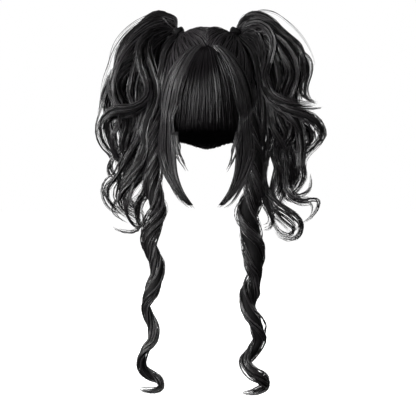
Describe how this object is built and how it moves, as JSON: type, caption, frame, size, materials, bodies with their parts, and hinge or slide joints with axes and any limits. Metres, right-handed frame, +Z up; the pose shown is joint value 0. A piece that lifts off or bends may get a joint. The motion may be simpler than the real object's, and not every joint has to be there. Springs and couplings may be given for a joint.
{
  "type": "pigtail wig",
  "caption": "Near-black wig: a head-shaped cap with a straight fringe, face-framing locks, high curled pigtails tied at the crown and long spiral tendrils.",
  "frame": {"origin": "inside of the cap's crown, where the top of the head touches it", "axes": "+Z up along the head, the face opening towards -Y, the wearer's left hand side towards +X"},
  "size_m": [0.3863, 0.2098, 0.6572],
  "materials": {
    "hair": "near-black straight and curled fibre, satin sheen",
    "tie": "wrapped strands of the same near-black fibre",
    "cap": "matt black stretch net"
  },
  "bodies": {
    "root": {"cap": "cap", "fringe": "hair", "crown_left": "hair", "crown_right": "hair", "side_lock_left": "hair", "side_lock_right": "hair", "cheek_lock_left": "hair", "cheek_lock_right": "hair", "pigtail_left": "hair", "pigtail_right": "hair", "tendril_left": "hair", "tendril_right": "hair", "tie_left": "tie", "tie_right": "tie"}
  },
  "joints": []
}
